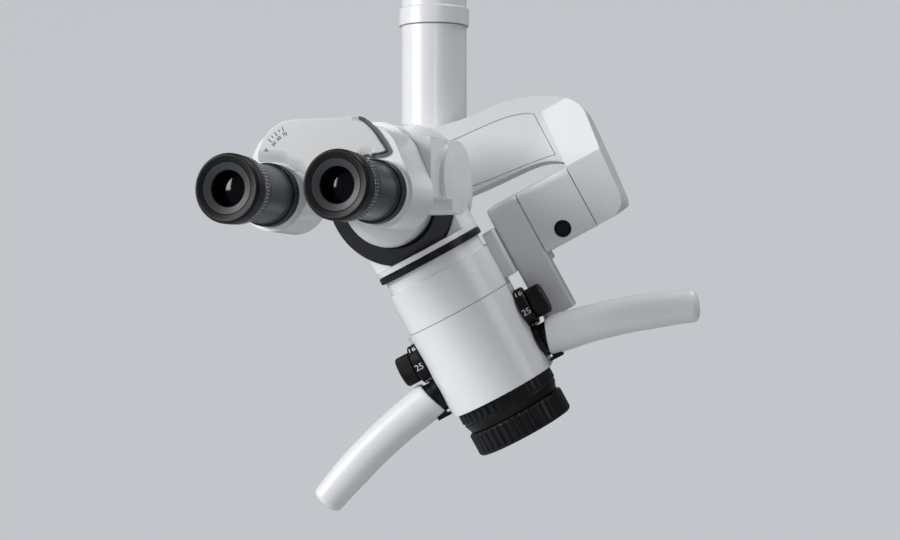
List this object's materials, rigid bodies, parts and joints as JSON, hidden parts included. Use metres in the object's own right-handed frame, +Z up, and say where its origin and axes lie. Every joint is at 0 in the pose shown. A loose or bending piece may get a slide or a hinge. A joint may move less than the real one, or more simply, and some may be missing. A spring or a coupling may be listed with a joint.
{
  "type": "surgical microscope",
  "caption": "Hanging surgical microscope head: column, arch arm, tilting carrier, optics body with knobs, handles, focus ring and inclinable binocular tube.",
  "frame": {"origin": "On the column axis, half way up the mounting stub that the suspension arm clamps.", "axes": "+Z up along the column; -Y is the side that the user stands on; +X is to the right as the user sees it."},
  "size_m": [0.2948, 0.3143, 0.3682],
  "materials": {
    "white_casting": "white enamel on cast aluminium, satin gloss",
    "white_shell": "white moulded shell, satin gloss",
    "black_anodised": "black anodised, satin",
    "black_plastic": "black, matt",
    "black_rubber": "black rubber, matt",
    "steel": "ground steel",
    "bronze": "sintered bronze bearing metal",
    "bare_aluminium": "machined",
    "optical_glass": "coated optical glass",
    "mirror_glass": "front-silvered mirror"
  },
  "bodies": {
    "collar": {"swing_arm_collar": "white_casting", "swivel_bush": "bronze"},
    "column": {"swivel_stem": "steel", "column_tube": "white_casting", "column_foot": "white_casting", "lateral_pin": "steel"},
    "arch": {"arch_arm": "white_casting", "arch_front_cover": "white_shell", "arch_rear_cover": "white_shell", "cover_screws": "steel", "pivot_bush": "bronze", "tilt_spindle": "steel"},
    "carrier": {"tilt_housing": "white_casting", "tilt_bush": "bronze", "friction_screw": "steel", "friction_plug": "black_plastic", "carrier_arm": "white_casting", "side_rail": "white_casting", "upper_housing": "white_shell", "lower_housing": "white_shell", "rear_cover": "white_shell", "index_marks": "white_shell", "optics_chassis": "bare_aluminium", "drum_bearings": "bronze", "objective_mount_ring": "black_anodised", "handle_stubs": "black_anodised", "dovetail_ring": "black_anodised", "clamp_screw": "steel"},
    "drum": {"magnification_drum": "black_anodised", "drum_lenses": "optical_glass", "right_dial": "black_plastic", "right_knob": "black_plastic", "left_dial": "black_plastic", "left_knob": "black_plastic"},
    "focus": {"focus_ring": "black_anodised"},
    "lens": {"lens_cell": "black_anodised", "objective_lens": "optical_glass"},
    "handle_left": {"left_handle": "white_shell"},
    "handle_right": {"right_handle": "white_shell"},
    "button_left": {"left_lock_button": "black_plastic"},
    "button_right": {"right_lock_button": "black_plastic"},
    "adapter": {"adapter_dovetail": "steel", "adapter_housing": "white_shell", "deflection_mirror": "mirror_glass"},
    "roller": {"roll_disc": "black_anodised", "yoke": "white_casting"},
    "binocular": {"binocular_housing": "white_shell", "hinge_pin": "steel", "bridge_cover": "white_shell"},
    "arm_left": {"left_arm": "white_shell", "left_eyepiece": "black_anodised", "left_eye_lens": "optical_glass"},
    "arm_right": {"right_arm": "white_shell", "right_eyepiece": "black_anodised", "right_eye_lens": "optical_glass"},
    "diopter_left": {"left_diopter_ring": "black_anodised"},
    "diopter_right": {"right_diopter_ring": "black_anodised"},
    "cup_left": {"left_eyecup": "black_rubber"},
    "cup_right": {"right_eyecup": "black_rubber"}
  },
  "joints": [
    {"name": "column_swivel", "type": "hinge", "parent": "collar", "child": "column", "pos_m": [0, 0, -0.02], "axis": [0, 0, 1], "range_deg": [-170, 170]},
    {"name": "lateral_tilt", "type": "hinge", "parent": "column", "child": "arch", "pos_m": [0, -0.033, -0.13], "axis": [0, -1, 0], "range_deg": [-60, 15]},
    {"name": "forward_tilt", "type": "hinge", "parent": "arch", "child": "carrier", "pos_m": [0.09821, -0.05646, -0.15686], "axis": [0.8862, 0, 0.4633], "range_deg": [-5, 60]},
    {"name": "magnification_turn", "type": "hinge", "parent": "carrier", "child": "drum", "pos_m": [0.04229, -0.08493, -0.24416], "axis": [0.8862, 0, 0.4633], "continuous": true},
    {"name": "fine_focus_turn", "type": "hinge", "parent": "carrier", "child": "focus", "pos_m": [0.07205, -0.07498, -0.30109], "axis": [-0.4578, -0.153, 0.8758], "range_deg": [-170, 170]},
    {"name": "lens_travel", "type": "slide", "parent": "carrier", "child": "lens", "axis": [-0.4578, -0.153, 0.8758], "range_m": [-0.003, 0.003]},
    {"name": "handle_left_turn", "type": "hinge", "parent": "carrier", "child": "handle_left", "pos_m": [0.01317, -0.08133, -0.28559], "axis": [0.8862, 0, 0.4633], "range_deg": [-30, 30]},
    {"name": "handle_right_turn", "type": "hinge", "parent": "carrier", "child": "handle_right", "pos_m": [0.09293, -0.08133, -0.2439], "axis": [0.8862, 0, 0.4633], "range_deg": [-30, 30]},
    {"name": "button_left_press", "type": "slide", "parent": "handle_left", "child": "button_left", "axis": [-0.4578, -0.153, 0.8758], "range_m": [0, 0.0014], "stiffness_N_per_m": 300, "springref_m": -0.001},
    {"name": "button_right_press", "type": "slide", "parent": "handle_right", "child": "button_right", "axis": [-0.4578, -0.153, 0.8758], "range_m": [0, 0.0014], "stiffness_N_per_m": 300, "springref_m": -0.001},
    {"name": "tube_swivel", "type": "hinge", "parent": "carrier", "child": "adapter", "pos_m": [0.0146, -0.09418, -0.19118], "axis": [-0.4578, -0.153, 0.8758], "range_deg": [-60, 50]},
    {"name": "tube_roll", "type": "hinge", "parent": "adapter", "child": "roller", "pos_m": [-0.00775, -0.10865, -0.15366], "axis": [0.2009, 0.9418, 0.2695], "range_deg": [-60, 20]},
    {"name": "tube_incline", "type": "hinge", "parent": "roller", "child": "binocular", "pos_m": [-0.01482, -0.14181, -0.14456], "axis": [-0.978, 0.2086, -0.0001], "range_deg": [-30, 45]},
    {"name": "pupil_right", "type": "hinge", "parent": "binocular", "child": "arm_right", "pos_m": [-0.00715, -0.20173, -0.13656], "axis": [0.2086, 0.978, -0.0001], "range_deg": [-2, 21]},
    {"name": "pupil_left", "type": "hinge", "parent": "binocular", "child": "arm_left", "pos_m": [-0.04627, -0.19338, -0.13656], "axis": [0.2086, 0.978, -0.0001], "range_deg": [-21, 2]},
    {"name": "diopter_left_turn", "type": "hinge", "parent": "arm_left", "child": "diopter_left", "pos_m": [-0.07513, -0.2496, -0.15856], "axis": [0.2086, 0.978, -0.0001], "range_deg": [-160, 160]},
    {"name": "eyecup_left_pull", "type": "slide", "parent": "arm_left", "child": "cup_left", "axis": [-0.2086, -0.978, 0.0001], "range_m": [0, 0.006]},
    {"name": "diopter_right_turn", "type": "hinge", "parent": "arm_right", "child": "diopter_right", "pos_m": [-0.00374, -0.26483, -0.15856], "axis": [0.2086, 0.978, -0.0001], "range_deg": [-160, 160]},
    {"name": "eyecup_right_pull", "type": "slide", "parent": "arm_right", "child": "cup_right", "axis": [-0.2086, -0.978, 0.0001], "range_m": [0, 0.006]}
  ],
  "couplings": [
    {"joint": "lens_travel", "follows": "fine_focus_turn", "m_per_rad": 0.001},
    {"joint": "pupil_left", "follows": "pupil_right", "ratio": -1}
  ]
}
